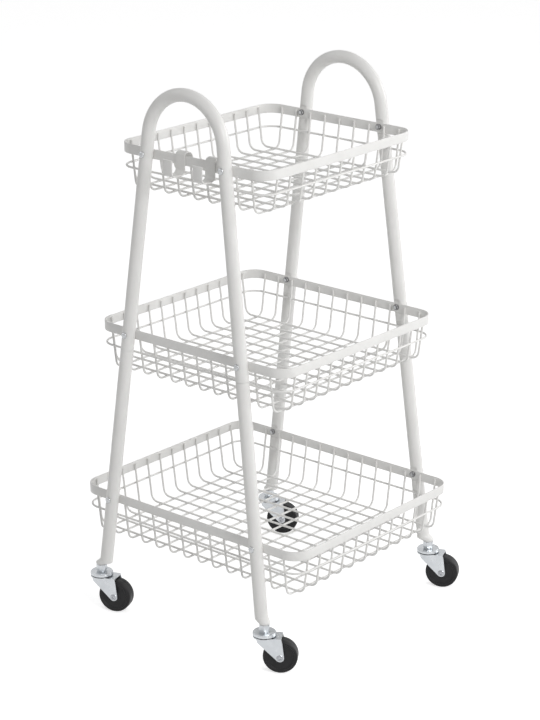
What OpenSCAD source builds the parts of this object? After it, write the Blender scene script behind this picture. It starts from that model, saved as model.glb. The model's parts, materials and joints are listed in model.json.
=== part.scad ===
// Rolling utility cart: two bent-tube arches on four swivel casters carry three wire baskets.
// Units are millimetres. +Z is up, the origin is on the floor under the middle of the cart,
// +X runs from the hook side to the plain side and -Y is the long front.

/* [Frame] */
// Distance between the two arches' tube centres, at the level of the arch centres
frame_width = 345; // [335:1:355]
// Height of the arch centres above the floor
arch_height = 729.7; // [726:0.1:745]
// Bend radius of the arches, to the centre of the tube
arch_radius = 69.05; // [67:0.05:72]
// Outside diameter of the frame tubes
tube_diameter = 19; // [18.5:0.5:20]
// Wall thickness of the frame tubes
tube_wall = 1.2; // [1:0.1:1.4]
// Slope of each leg away from its partner, in degrees
leg_splay = 7.13; // [6.8:0.01:7.4]
// Outward lean of each arch, in degrees
frame_lean = 1.51; // [1.2:0.01:1.8]
// Height of the seam between an arch and its lower legs
seam_height = 416.5; // [410:0.5:420]
// Height at which the lower legs end in their foot sockets
leg_end_height = 80; // [80:0.5:84]

/* [Baskets] */
// Height of the top basket's rim
top_rim_height = 712.8; // [708:0.1:715]
// Height of the middle basket's rim
middle_rim_height = 444.5; // [441:0.1:447]
// Height of the bottom basket's rim
bottom_rim_height = 185.2; // [180:0.1:200]
// Front-to-back depth of the top rim
top_rim_depth = 275.4; // [270:0.1:280]
// Front-to-back depth of the middle rim
middle_rim_depth = 353.4; // [348:0.1:358]
// Front-to-back depth of the bottom rim
bottom_rim_depth = 415.5; // [410:0.1:420]
// Height of the flat strip that makes each rim
rim_strip_height = 14; // [12:0.5:15]
// Thickness of that strip
rim_strip_thickness = 2; // [1.8:0.1:2.2]
// Outside radius of the rims' corners
rim_corner_radius = 27; // [25:0.5:27]
// Diameter of the basket wires
wire_diameter = 3.2; // [2.6:0.1:3.3]

/* [Casters] */
// Diameter of the wheels
wheel_diameter = 50; // [46:0.5:50]
// Width of the wheels
wheel_width = 19; // [16:0.5:19.5]
// Distance from a caster's swivel axis to its axle
caster_trail = 23; // [22:0.5:24]
// Diameter of the threaded caster stems
stem_diameter = 8; // [7:0.5:8]
// Way the front left fork points, in degrees from +X
trail_front_left = -56; // [-180:1:180]
// Way the back left fork points
trail_back_left = -69; // [-180:1:180]
// Way the front right fork points
trail_front_right = -64; // [-180:1:180]
// Way the back right fork points
trail_back_right = -62; // [-180:1:180]

/* [Hooks] */
// Width of the bent strip of each hook
hook_width = 17; // [14:0.5:18]
// Thickness of that strip
hook_thickness = 1.6; // [1.2:0.1:1.8]
// Front-to-back position of the back hook
hook_back_at = 15; // [12:0.5:16]
// Front-to-back position of the front hook
hook_front_at = -40; // [-42:0.5:-38]

/* [Hidden] */
$fn = 48;
LEFT = -1;
RIGHT = 1;
FRONT = -1;
BACK = 1;
TOP = 0;
MIDDLE = 1;
BOTTOM = 2;

PAINT = [0.90, 0.89, 0.86];
ZINC = [0.70, 0.73, 0.78];
BRIGHT = [0.85, 0.86, 0.88];
DARK = [0.20, 0.20, 0.21];
BLACK = [0.07, 0.07, 0.08];

tube_r = tube_diameter / 2;
bore_r = tube_r - tube_wall;
spigot_r = bore_r - 0.1;
spigot_bore_r = spigot_r - tube_wall;
spigot_top = 455;
seam_gap = 0.3;
lap = 0.4;
fuller = 0.02;
bend_fuller = 0.1;

rim_top = [top_rim_height, middle_rim_height, bottom_rim_height];
rim_depth = [top_rim_depth, middle_rim_depth, bottom_rim_depth];
basket_drop = [64, 70, 73];
cross_count = [9, 12, 14];
long_count = [11, 12, 12];
seat_depth = 2;
seat_below = 1.5;
seat_above = 4;
bolt_drop = 5.5;
bolt_r = 2.5;
bolt_hole_r = 2.6;
bolt_head_r = 4.75;
bolt_head_height = 3;
nut_flats = 8;
nut_height = 4;

wire_r = wire_diameter / 2;
weld_gap = 0.05;
wire_margin = 28;
wire_start = 3;
wall_slope = 8;
wire_top_run = 10;
wire_top_bend = 15;
wire_floor_bend = 12;
belt_drop = 34;

axle_height = wheel_diameter / 2;
axle_r = 3;
stem_r = stem_diameter / 2;
stem_x = 192.2;
stem_y = 159;
stem_top = 76;
foot_bottom = 71;
foot_low_r = 6.2;
foot_high_r = 8.4;
hex_flats = 14;
race_r = 16.8;
race_bottom = 57.4;
race_top = 60;
crown_top = 54;
crown_bottom = 52;
fork_inner = 10.5;
fork_outer = 12.5;
ball_r = 1.5;
ball_ring = 11.5;
ball_count = 12;

hook_arc = 9;
hook_small_arc = 2;
hook_joint = 1;
hook_gap = 0.15;
hook_rise = 3.3;
hook_inner_end = 12;
hook_drop = 27;
hook_corner = 7;
hook_reach = 27.8;
hook_lip = 2;

// Distance outward of a leg's centre at height z
function leg_x(z) = frame_width / 2 + tan(frame_lean) * (arch_height - z);

// Distance forward or back of a leg's centre at height z
function leg_y(z) =
  arch_radius / cos(leg_splay) + tan(leg_splay) * (arch_height - z) / cos(frame_lean);

// Distance down a leg's own axis to height z
function leg_run(z) = (arch_height - z) / (cos(leg_splay) * cos(frame_lean));

// Half length of a rim to its outer face, which sits in the tubes' pressed seats
function rim_x(i) = leg_x(rim_top[i] - rim_strip_height / 2) - tube_r + seat_depth;

function rim_y(i) = rim_depth[i] / 2;

function bolt_z(i) = rim_top[i] - bolt_drop;

// Point where a line from p touches a circle of radius r about c
function touch(p, c, r, side) =
  let (d = norm(c - p), a = atan2(c[1] - p[1], c[0] - p[0]) + side * asin(r / d))
  p + sqrt(d * d - r * r) * [cos(a), sin(a)];

// Follows steps [length, 0, 0], [0, left turn, radius] in the XY plane. The first child is the
// straights' profile, the second the bends'; straights lap into the slightly fuller bends.
module follow(steps, lap = 0, k = 0) {
  if (k < len(steps)) {
    run = steps[k][0];
    turn = steps[k][1];
    radius = steps[k][2];
    before = k > 0 ? lap : 0;
    after = k < len(steps) - 1 ? lap : 0;
    if (turn == 0)
      translate([-before, 0, 0]) rotate([90, 0, 90]) linear_extrude(run + before + after) children(0);
    if (turn > 0)
      translate([0, radius, 0])
        rotate_extrude(angle = turn, start = -90) translate([radius, 0]) mirror([1, 0]) children(1);
    if (turn < 0)
      translate([0, -radius, 0])
        rotate_extrude(angle = -turn, start = 90 + turn) translate([radius, 0]) children(1);
    ahead = turn == 0 ? run : radius * sin(abs(turn));
    aside = turn == 0 ? 0 : sign(turn) * radius * (1 - cos(turn));
    translate([ahead, aside, 0]) rotate([0, 0, turn]) follow(steps, lap, k + 1) {
      children(0);
      children(1);
    }
  }
}

module ring_section(outer, inner) {
  difference() {
    circle(outer);
    circle(inner);
  }
}

// Plane of one arch: origin at the arch centre, Y across the arch, Z up its lean
module arch_plane(s) {
  translate([s * frame_width / 2, 0, arch_height]) rotate([0, -s * frame_lean, 0]) children();
}

// Axis of one leg: -Z runs down the leg from the level of the arch centre
module leg_axis(s, t) {
  arch_plane(s)
    translate([0, t * arch_radius / cos(leg_splay), 0]) rotate([t * leg_splay, 0, 0]) children();
}

module leg_rod(s, t, r, from, to) {
  leg_axis(s, t) translate([0, 0, -to]) cylinder(r = r, h = to - from);
}

// Block on the inner side of a leg, reaching out to a plane parallel to the rim
module inner_block(s, t, i, reach, low, high) {
  wide = 3 * tube_r;
  deep = 8;
  translate([s * (rim_x(i) + reach - deep / 2), t * leg_y((low + high) / 2), (low + high) / 2])
    cube([deep, wide, high - low], center = true);
}

module bolt_hole(s, t, i) {
  translate([s * leg_x(bolt_z(i)), t * leg_y(bolt_z(i)), bolt_z(i)])
    rotate([0, 90, 0]) cylinder(r = bolt_hole_r, h = 40, center = true);
}

// Straight tube with a pressed flat seat where each listed rim crosses it
module seated_tube(s, t, from, to, rims) {
  difference() {
    leg_rod(s, t, tube_r, from, to);
    difference() {
      leg_rod(s, t, bore_r, from - 1, to + 1);
      for (i = rims)
        inner_block(s, t, i, tube_wall, rim_top[i] - rim_strip_height - seat_below - tube_wall,
                    rim_top[i] + seat_above + tube_wall);
    }
    for (i = rims) {
      inner_block(s, t, i, 0, rim_top[i] - rim_strip_height - seat_below, rim_top[i] + seat_above);
      bolt_hole(s, t, i);
    }
  }
}

module arch(s) {
  union() {
    arch_plane(s) rotate([90, 0, 90])
      rotate_extrude(angle = 180 - 2 * leg_splay, start = leg_splay)
        translate([arch_radius, 0]) ring_section(tube_r + bend_fuller, bore_r - bend_fuller);
    for (t = [FRONT, BACK])
      seated_tube(s, t, -arch_radius * tan(leg_splay) - lap, leg_run(seam_height + seam_gap),
                  [TOP, MIDDLE]);
  }
}

// Reduced end of a lower leg that slides up inside the arch tube, flattened past the rim's seat
module spigot(s, t) {
  flat_low = rim_top[MIDDLE] - rim_strip_height - seat_below - tube_wall - 0.1;
  flat_at = tube_wall + 0.1;
  difference() {
    leg_rod(s, t, spigot_r, leg_run(spigot_top), leg_run(seam_height - 4));
    difference() {
      leg_rod(s, t, spigot_bore_r, leg_run(spigot_top) - 1, leg_run(seam_height - 4) + 1);
      inner_block(s, t, MIDDLE, flat_at + tube_wall, flat_low - tube_wall, spigot_top + 9);
    }
    inner_block(s, t, MIDDLE, flat_at, flat_low, spigot_top + 9);
    bolt_hole(s, t, MIDDLE);
  }
}

module leg(s, t) {
  union() {
    seated_tube(s, t, leg_run(seam_height), leg_run(leg_end_height), [BOTTOM]);
    difference() {
      leg_rod(s, t, tube_r - 0.4, leg_run(seam_height - 0.4), leg_run(seam_height - 3.5));
      leg_rod(s, t, spigot_bore_r, leg_run(seam_height) - 1, leg_run(seam_height - 6));
    }
    spigot(s, t);
  }
}

// Foot: a spigot closes the tube, and a rounded end drawn over to one side takes the stem
module foot_socket(s, t) {
  difference() {
    hull() {
      $fn = 32;
      leg_rod(s, t, tube_r, leg_run(leg_end_height), leg_run(leg_end_height - 3.5));
      translate([s * stem_x, t * stem_y, foot_bottom]) cylinder(r1 = foot_low_r, r2 = foot_high_r, h = 3.5);
    }
    translate([s * stem_x, t * stem_y, foot_bottom - 1])
      cylinder(r = stem_r + 0.05, h = stem_top + 1.5 - foot_bottom);
  }
  difference() {
    leg_rod(s, t, spigot_r, leg_run(leg_end_height + 22), leg_run(leg_end_height - 1));
    leg_rod(s, t, spigot_bore_r, leg_run(leg_end_height + 23), leg_run(leg_end_height + 3));
  }
}

// Rounded rectangle followed by a profile: half sizes to the centre of the profile
module hoop(half_x, half_y, radius) {
  run_x = 2 * (half_x - radius);
  run_y = 2 * (half_y - radius);
  translate([-run_x / 2, -half_y, 0])
    follow([
      [run_x, 0, 0], [0, 90, radius],
      [run_y, 0, 0], [0, 90, radius],
      [run_x, 0, 0], [0, 90, radius],
      [run_y, 0, 0], [0, 90, radius]
    ]) {
      children();
      children();
    }
}

module rim(i) {
  half = rim_strip_thickness / 2;
  difference() {
    translate([0, 0, rim_top[i] - rim_strip_height / 2])
      hoop(rim_x(i) - half, rim_y(i) - half, rim_corner_radius - half)
        square([rim_strip_thickness, rim_strip_height], center = true);
    for (s = [LEFT, RIGHT], t = [FRONT, BACK])
      bolt_hole(s, t, i);
  }
}

// One wire bent to a trough: two sloped walls and a floor, as [length, turn, radius] steps
module trough(half_span, drop) {
  a = wall_slope;
  wall = (drop - wire_top_run - wire_top_bend * sin(a) - wire_floor_bend * (1 - sin(a))) / cos(a);
  inset = wire_top_bend * (1 - cos(a)) + wall * sin(a) + wire_floor_bend * cos(a);
  base = 2 * (half_span - inset);
  translate([-half_span, 0, 0]) rotate([0, 0, -90])
    follow([
      [wire_top_run, 0, 0], [0, a, wire_top_bend],
      [wall, 0, 0], [0, 90 - a, wire_floor_bend],
      [base, 0, 0], [0, 90 - a, wire_floor_bend],
      [wall, 0, 0], [0, a, wire_top_bend],
      [wire_top_run, 0, 0]
    ], lap) {
      circle(wire_r);
      circle(wire_r + fuller);
    }
}

// Wires that run left to right, spread evenly from front to back
module cross_wires(i) {
  count = cross_count[i];
  first = rim_y(i) - wire_margin;
  for (k = [0 : count - 1])
    translate([0, -first + 2 * first * k / (count - 1), rim_top[i] - wire_start])
      rotate([90, 0, 0])
        trough(rim_x(i) - rim_strip_thickness - weld_gap - wire_r, basket_drop[i] - wire_start);
}

// Wires that run front to back, lying on the cross wires
module long_wires(i) {
  count = long_count[i];
  first = rim_x(i) - wire_margin;
  lift = wire_diameter + weld_gap;
  for (k = [0 : count - 1])
    translate([-first + 2 * first * k / (count - 1), 0, rim_top[i] - wire_start])
      rotate([90, 0, 90])
        trough(rim_y(i) - rim_strip_thickness - weld_gap - wire_r,
               basket_drop[i] - wire_start - lift);
}

// Wire hoop welded round the outside of the basket's walls
module belt_wire(i) {
  a = wall_slope;
  drift = wire_top_bend * (1 - cos(a))
    + (belt_drop - wire_start - wire_top_run - wire_top_bend * sin(a)) * tan(a);
  inset = weld_gap + wire_r + drift - (wire_diameter + weld_gap) / cos(a) + rim_strip_thickness;
  translate([0, 0, rim_top[i] - belt_drop])
    hoop(rim_x(i) - inset, rim_y(i) - inset, rim_corner_radius - inset) circle(wire_r);
}

// Screw with a domed head outside the tube and its shank through tube and rim
module bolt(s, t, i) {
  z = bolt_z(i);
  seat = leg_x(z) + tube_r - 1.2;
  inner = rim_x(i) - rim_strip_thickness - nut_height - 1.5;
  dome_r = 5.6;
  difference() {
    translate([0, t * leg_y(z), z]) rotate([0, s * 90, 0]) union() {
      translate([0, 0, inner]) cylinder(r = bolt_r, h = seat + 1 - inner);
      intersection() {
        translate([0, 0, seat]) cylinder(r = bolt_head_r, h = bolt_head_height + 1.2);
        translate([0, 0, seat + 1.2 + bolt_head_height - dome_r]) sphere(r = dome_r);
      }
    }
    difference() {
      leg_rod(s, t, tube_r + 0.05, leg_run(z + 12), leg_run(z - 12));
      translate([s * leg_x(z), t * leg_y(z), z])
        rotate([0, 90, 0]) cylinder(r = bolt_r, h = 60, center = true);
    }
  }
}

module bolts(i) {
  for (s = [LEFT, RIGHT], t = [FRONT, BACK])
    bolt(s, t, i);
}

module hexagon(flats) {
  corner = flats / 2 / cos(30);
  polygon([for (k = [0 : 5]) corner * [cos(60 * k + 30), sin(60 * k + 30)]]);
}

module nuts(i) {
  for (s = [LEFT, RIGHT], t = [FRONT, BACK])
    translate([s * (rim_x(i) - rim_strip_thickness), t * leg_y(bolt_z(i)), bolt_z(i)])
      rotate([0, -s * 90, 0])
        linear_extrude(nut_height)
          difference() {
            hexagon(nut_flats);
            circle(bolt_r + 0.05);
          }
}

// Strip bent into a loop over the rim and a J outside it
module hook(y) {
  half = hook_thickness / 2;
  big = hook_arc + half;
  small = hook_small_arc + half;
  centre_out = hook_rise - hook_arc;
  span = hook_arc - hook_small_arc;
  over = atan2(hook_joint, span)
    + acos((hook_gap - centre_out - hook_small_arc) / norm([span, hook_joint]));
  shoulder = centre_out + span * sin(over) - hook_joint * cos(over);
  bend_level = hook_corner + hook_thickness - hook_drop;
  base = hook_reach - hook_gap - 2 * (hook_thickness + hook_corner);
  translate([-rim_x(TOP), y, rim_top[TOP]]) mirror([1, 0, 0]) rotate([90, 0, 0])
    translate([centre_out - big, -hook_inner_end, 0]) rotate([0, 0, 90])
      follow([
        [hook_inner_end + centre_out, 0, 0],
        [0, over - 180, big], [hook_joint, 0, 0], [0, -over, small],
        [shoulder - bend_level, 0, 0],
        [0, 90, hook_corner + half], [base, 0, 0], [0, 90, hook_corner + half],
        [-hook_lip - bend_level, 0, 0]
      ], lap) {
        square([hook_thickness, hook_width], center = true);
        square([hook_thickness + 2 * fuller, hook_width + 2 * fuller], center = true);
      }
}

// Caster frame: origin on the floor under the stem, X along the trail
module caster_at(s, t, trail) {
  translate([s * stem_x, t * stem_y, 0]) rotate([0, 0, trail]) children();
}

module caster_stem() {
  head_top = crown_bottom - 0.3;
  translate([0, 0, head_top - 3]) cylinder(r = 8, h = 3);
  translate([0, 0, head_top - 1]) cylinder(r = stem_r, h = stem_top + 1 - head_top);
  translate([0, 0, race_top]) cylinder(r = 6.5, h = 3);
  translate([0, 0, race_top + 2]) linear_extrude(foot_bottom - race_top - 2) hexagon(hex_flats);
}

module top_race() {
  skirt = 1.2;
  difference() {
    union() {
      translate([0, 0, race_bottom]) cylinder(r = race_r - 0.8, h = race_top - race_bottom);
      translate([0, 0, race_bottom - 1.9]) cylinder(r = race_r, h = 3.4);
    }
    translate([0, 0, race_bottom - 3]) cylinder(r = race_r - skirt, h = 3);
    cylinder(r = stem_r + 0.05, h = 100);
  }
}

module race_balls() {
  for (k = [0 : ball_count - 1])
    rotate([0, 0, 360 * k / ball_count])
      translate([ball_ring, 0, crown_top + weld_gap + ball_r]) sphere(r = ball_r);
}

module fork_cheek() {
  axle = [caster_trail, axle_height];
  front = [-10.5, crown_bottom + 1];
  front_low = [-9, crown_bottom - 5];
  rear = [caster_trail + 2, crown_bottom + 1];
  rear_low = [caster_trail + 3.5, crown_bottom - 5];
  lug = 6;
  difference() {
    union() {
      polygon([front, front_low, touch(front_low, axle, lug, -1), axle,
               touch(rear_low, axle, lug, 1), rear_low, rear]);
      translate(axle) circle(lug);
    }
    translate(axle) circle(axle_r + 0.05);
  }
}

module fork() {
  sheet = fork_outer - fork_inner;
  union() {
    difference() {
      union() {
        translate([0, 0, crown_bottom]) cylinder(r = 16.5, h = crown_top - crown_bottom);
        translate([0, -fork_outer, crown_bottom])
          cube([caster_trail + 2, 2 * fork_outer, crown_top - crown_bottom]);
      }
      cylinder(r = stem_r + 0.08, h = 100);
    }
    for (side = [-1, 1])
      translate([0, side * (fork_outer + fork_inner) / 2 + sheet / 2, 0])
        rotate([90, 0, 0]) linear_extrude(sheet) fork_cheek();
  }
}

module axle() {
  translate([caster_trail, 0, axle_height]) rotate([90, 0, 0]) {
    cylinder(r = axle_r, h = 2 * fork_outer + 1, center = true);
    for (side = [-1, 1])
      intersection() {
        translate([0, 0, side * (fork_outer + 0.9)]) cylinder(r = 5, h = 1.8, center = true);
        translate([0, 0, side * (fork_outer - 6.2)]) sphere(r = 8);
      }
  }
}

// Half of the wheel's section: radius across, width up
module wheel_section() {
  edge = 2.5;
  half = wheel_width / 2;
  rim_inner = wheel_diameter / 2 - 5;
  difference() {
    union() {
      translate([axle_r + 0.06, -half]) square([wheel_diameter / 2 - edge - axle_r - 0.06, wheel_width]);
      translate([axle_r + 0.06, edge - half])
        square([wheel_diameter / 2 - axle_r - 0.06, wheel_width - 2 * edge]);
      for (side = [-1, 1])
        translate([wheel_diameter / 2 - edge, side * (half - edge)]) circle(edge);
    }
    for (side = [-1, 1])
      translate([8, side * (half - 1) - 1]) square([rim_inner - 8, 2]);
  }
}

module wheel() {
  translate([caster_trail, 0, axle_height]) rotate([90, 0, 0]) rotate_extrude() wheel_section();
}

module arch_left() {
  color(PAINT) arch(LEFT);
}

module arch_right() {
  color(PAINT) arch(RIGHT);
}

module leg_front_left() {
  color(PAINT) leg(LEFT, FRONT);
}

module leg_back_left() {
  color(PAINT) leg(LEFT, BACK);
}

module leg_front_right() {
  color(PAINT) leg(RIGHT, FRONT);
}

module leg_back_right() {
  color(PAINT) leg(RIGHT, BACK);
}

module socket_front_left() {
  color(PAINT) foot_socket(LEFT, FRONT);
}

module socket_back_left() {
  color(PAINT) foot_socket(LEFT, BACK);
}

module socket_front_right() {
  color(PAINT) foot_socket(RIGHT, FRONT);
}

module socket_back_right() {
  color(PAINT) foot_socket(RIGHT, BACK);
}

module rim_top() {
  color(PAINT) rim(TOP);
}

module cross_wires_top() {
  color(PAINT) cross_wires(TOP);
}

module long_wires_top() {
  color(PAINT) long_wires(TOP);
}

module belt_wire_top() {
  color(PAINT) belt_wire(TOP);
}

module bolts_top() {
  color(BRIGHT) bolts(TOP);
}

module nuts_top() {
  color(DARK) nuts(TOP);
}

module rim_middle() {
  color(PAINT) rim(MIDDLE);
}

module cross_wires_middle() {
  color(PAINT) cross_wires(MIDDLE);
}

module long_wires_middle() {
  color(PAINT) long_wires(MIDDLE);
}

module belt_wire_middle() {
  color(PAINT) belt_wire(MIDDLE);
}

module bolts_middle() {
  color(BRIGHT) bolts(MIDDLE);
}

module nuts_middle() {
  color(DARK) nuts(MIDDLE);
}

module rim_bottom() {
  color(PAINT) rim(BOTTOM);
}

module cross_wires_bottom() {
  color(PAINT) cross_wires(BOTTOM);
}

module long_wires_bottom() {
  color(PAINT) long_wires(BOTTOM);
}

module belt_wire_bottom() {
  color(PAINT) belt_wire(BOTTOM);
}

module bolts_bottom() {
  color(BRIGHT) bolts(BOTTOM);
}

module nuts_bottom() {
  color(DARK) nuts(BOTTOM);
}

module hook_back() {
  color(PAINT) hook(hook_back_at);
}

module hook_front() {
  color(PAINT) hook(hook_front_at);
}

module caster_stem_front_left() {
  color(ZINC) caster_at(LEFT, FRONT, trail_front_left) caster_stem();
}

module top_race_front_left() {
  color(ZINC) caster_at(LEFT, FRONT, trail_front_left) top_race();
}

module balls_front_left() {
  color(BRIGHT) caster_at(LEFT, FRONT, trail_front_left) race_balls();
}

module fork_front_left() {
  color(ZINC) caster_at(LEFT, FRONT, trail_front_left) fork();
}

module axle_front_left() {
  color(BRIGHT) caster_at(LEFT, FRONT, trail_front_left) axle();
}

module wheel_front_left() {
  color(BLACK) caster_at(LEFT, FRONT, trail_front_left) wheel();
}

module caster_stem_back_left() {
  color(ZINC) caster_at(LEFT, BACK, trail_back_left) caster_stem();
}

module top_race_back_left() {
  color(ZINC) caster_at(LEFT, BACK, trail_back_left) top_race();
}

module balls_back_left() {
  color(BRIGHT) caster_at(LEFT, BACK, trail_back_left) race_balls();
}

module fork_back_left() {
  color(ZINC) caster_at(LEFT, BACK, trail_back_left) fork();
}

module axle_back_left() {
  color(BRIGHT) caster_at(LEFT, BACK, trail_back_left) axle();
}

module wheel_back_left() {
  color(BLACK) caster_at(LEFT, BACK, trail_back_left) wheel();
}

module caster_stem_front_right() {
  color(ZINC) caster_at(RIGHT, FRONT, trail_front_right) caster_stem();
}

module top_race_front_right() {
  color(ZINC) caster_at(RIGHT, FRONT, trail_front_right) top_race();
}

module balls_front_right() {
  color(BRIGHT) caster_at(RIGHT, FRONT, trail_front_right) race_balls();
}

module fork_front_right() {
  color(ZINC) caster_at(RIGHT, FRONT, trail_front_right) fork();
}

module axle_front_right() {
  color(BRIGHT) caster_at(RIGHT, FRONT, trail_front_right) axle();
}

module wheel_front_right() {
  color(BLACK) caster_at(RIGHT, FRONT, trail_front_right) wheel();
}

module caster_stem_back_right() {
  color(ZINC) caster_at(RIGHT, BACK, trail_back_right) caster_stem();
}

module top_race_back_right() {
  color(ZINC) caster_at(RIGHT, BACK, trail_back_right) top_race();
}

module balls_back_right() {
  color(BRIGHT) caster_at(RIGHT, BACK, trail_back_right) race_balls();
}

module fork_back_right() {
  color(ZINC) caster_at(RIGHT, BACK, trail_back_right) fork();
}

module axle_back_right() {
  color(BRIGHT) caster_at(RIGHT, BACK, trail_back_right) axle();
}

module wheel_back_right() {
  color(BLACK) caster_at(RIGHT, BACK, trail_back_right) wheel();
}

arch_left();
arch_right();
leg_front_left();
leg_back_left();
leg_front_right();
leg_back_right();
socket_front_left();
socket_back_left();
socket_front_right();
socket_back_right();
rim_top();
cross_wires_top();
long_wires_top();
belt_wire_top();
bolts_top();
nuts_top();
rim_middle();
cross_wires_middle();
long_wires_middle();
belt_wire_middle();
bolts_middle();
nuts_middle();
rim_bottom();
cross_wires_bottom();
long_wires_bottom();
belt_wire_bottom();
bolts_bottom();
nuts_bottom();
hook_back();
hook_front();
caster_stem_front_left();
top_race_front_left();
balls_front_left();
fork_front_left();
axle_front_left();
wheel_front_left();
caster_stem_back_left();
top_race_back_left();
balls_back_left();
fork_back_left();
axle_back_left();
wheel_back_left();
caster_stem_front_right();
top_race_front_right();
balls_front_right();
fork_front_right();
axle_front_right();
wheel_front_right();
caster_stem_back_right();
top_race_back_right();
balls_back_right();
fork_back_right();
axle_back_right();
wheel_back_right();
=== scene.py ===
import json
import math

import bmesh
import bpy
from mathutils import Matrix, Vector


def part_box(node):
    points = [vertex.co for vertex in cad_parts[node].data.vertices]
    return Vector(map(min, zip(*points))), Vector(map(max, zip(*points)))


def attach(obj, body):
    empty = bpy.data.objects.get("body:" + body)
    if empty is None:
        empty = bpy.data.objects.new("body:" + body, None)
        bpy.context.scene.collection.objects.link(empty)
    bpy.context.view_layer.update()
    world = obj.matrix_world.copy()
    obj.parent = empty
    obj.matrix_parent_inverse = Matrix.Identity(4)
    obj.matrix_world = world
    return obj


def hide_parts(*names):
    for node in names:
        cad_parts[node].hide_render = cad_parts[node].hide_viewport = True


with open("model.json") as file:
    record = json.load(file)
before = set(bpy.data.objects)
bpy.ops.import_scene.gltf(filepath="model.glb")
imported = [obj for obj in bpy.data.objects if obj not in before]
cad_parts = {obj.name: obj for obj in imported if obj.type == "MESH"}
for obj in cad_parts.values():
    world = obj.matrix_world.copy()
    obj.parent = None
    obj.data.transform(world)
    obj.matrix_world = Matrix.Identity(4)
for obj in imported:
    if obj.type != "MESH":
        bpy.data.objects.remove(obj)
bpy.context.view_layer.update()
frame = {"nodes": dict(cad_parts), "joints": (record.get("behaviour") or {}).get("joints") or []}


# ---------------------------------------------------------------- powder coat
# Every painted part is mild steel with one baked coat of off-white satin powder.
# The coat pulls thin on edges, carries a fine orange peel, and holds a little dust.

def shader_group(name, inputs, outputs):
    """An empty shader group with float inputs and the given outputs, and its two end nodes."""
    group = bpy.data.node_groups.new(name, "ShaderNodeTree")
    for label, value in inputs.items():
        socket = group.interface.new_socket(name=label, in_out="INPUT", socket_type="NodeSocketFloat")
        socket.default_value = value
    for label in outputs:
        group.interface.new_socket(name=label, in_out="OUTPUT", socket_type="NodeSocketFloat")
    return group, group.nodes.new("NodeGroupInput"), group.nodes.new("NodeGroupOutput")


def maths(nodes, links, operation, first, second):
    """A math node whose operands are sockets or numbers."""
    node = nodes.new("ShaderNodeMath")
    node.operation = operation
    for slot, value in enumerate((first, second)):
        if isinstance(value, (int, float)):
            node.inputs[slot].default_value = value
        else:
            links.new(value, node.inputs[slot])
    return node.outputs[0]


def grain(nodes, links, scale, detail, stretch=(1, 1, 1)):
    """Noise on Object coordinates; scale is a number of features per metre, or a socket."""
    place = nodes.new("ShaderNodeTexCoord")
    mapping = nodes.new("ShaderNodeMapping")
    mapping.inputs["Scale"].default_value = stretch
    noise = nodes.new("ShaderNodeTexNoise")
    noise.inputs["Detail"].default_value = detail
    links.new(place.outputs["Object"], mapping.inputs["Vector"])
    links.new(mapping.outputs["Vector"], noise.inputs["Vector"])
    if isinstance(scale, (int, float)):
        noise.inputs["Scale"].default_value = scale
    else:
        links.new(scale, noise.inputs["Scale"])
    return noise.outputs["Fac"]


edge_wear, take, give = shader_group(
    "edge wear", {"Radius": 0.0006, "Break Up": 900.0, "Amount": 4.0}, ["Mask"])
rounded = edge_wear.nodes.new("ShaderNodeBevel")
edge_wear.links.new(take.outputs["Radius"], rounded.inputs["Radius"])
surface = edge_wear.nodes.new("ShaderNodeNewGeometry")
facing = edge_wear.nodes.new("ShaderNodeVectorMath")
facing.operation = "DOT_PRODUCT"
edge_wear.links.new(rounded.outputs["Normal"], facing.inputs[0])
edge_wear.links.new(surface.outputs["Normal"], facing.inputs[1])
lost = maths(edge_wear.nodes, edge_wear.links, "SUBTRACT", 1.0, facing.outputs["Value"])
broken = grain(edge_wear.nodes, edge_wear.links, take.outputs["Break Up"], 3)
amount = maths(edge_wear.nodes, edge_wear.links, "MULTIPLY", lost, take.outputs["Amount"])
spotted = maths(edge_wear.nodes, edge_wear.links, "MULTIPLY", amount, broken)
capped = maths(edge_wear.nodes, edge_wear.links, "MINIMUM", spotted, 1.0)
edge_wear.links.new(capped, give.inputs["Mask"])

clouding, take, give = shader_group("clouding", {"Scale": 30.0, "Low": 0.35, "High": 0.7}, ["Mask"])
cloud = grain(clouding.nodes, clouding.links, take.outputs["Scale"], 4)
spread = clouding.nodes.new("ShaderNodeMapRange")
clouding.links.new(cloud, spread.inputs["Value"])
clouding.links.new(take.outputs["Low"], spread.inputs["From Min"])
clouding.links.new(take.outputs["High"], spread.inputs["From Max"])
clouding.links.new(spread.outputs["Result"], give.inputs["Mask"])


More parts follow.
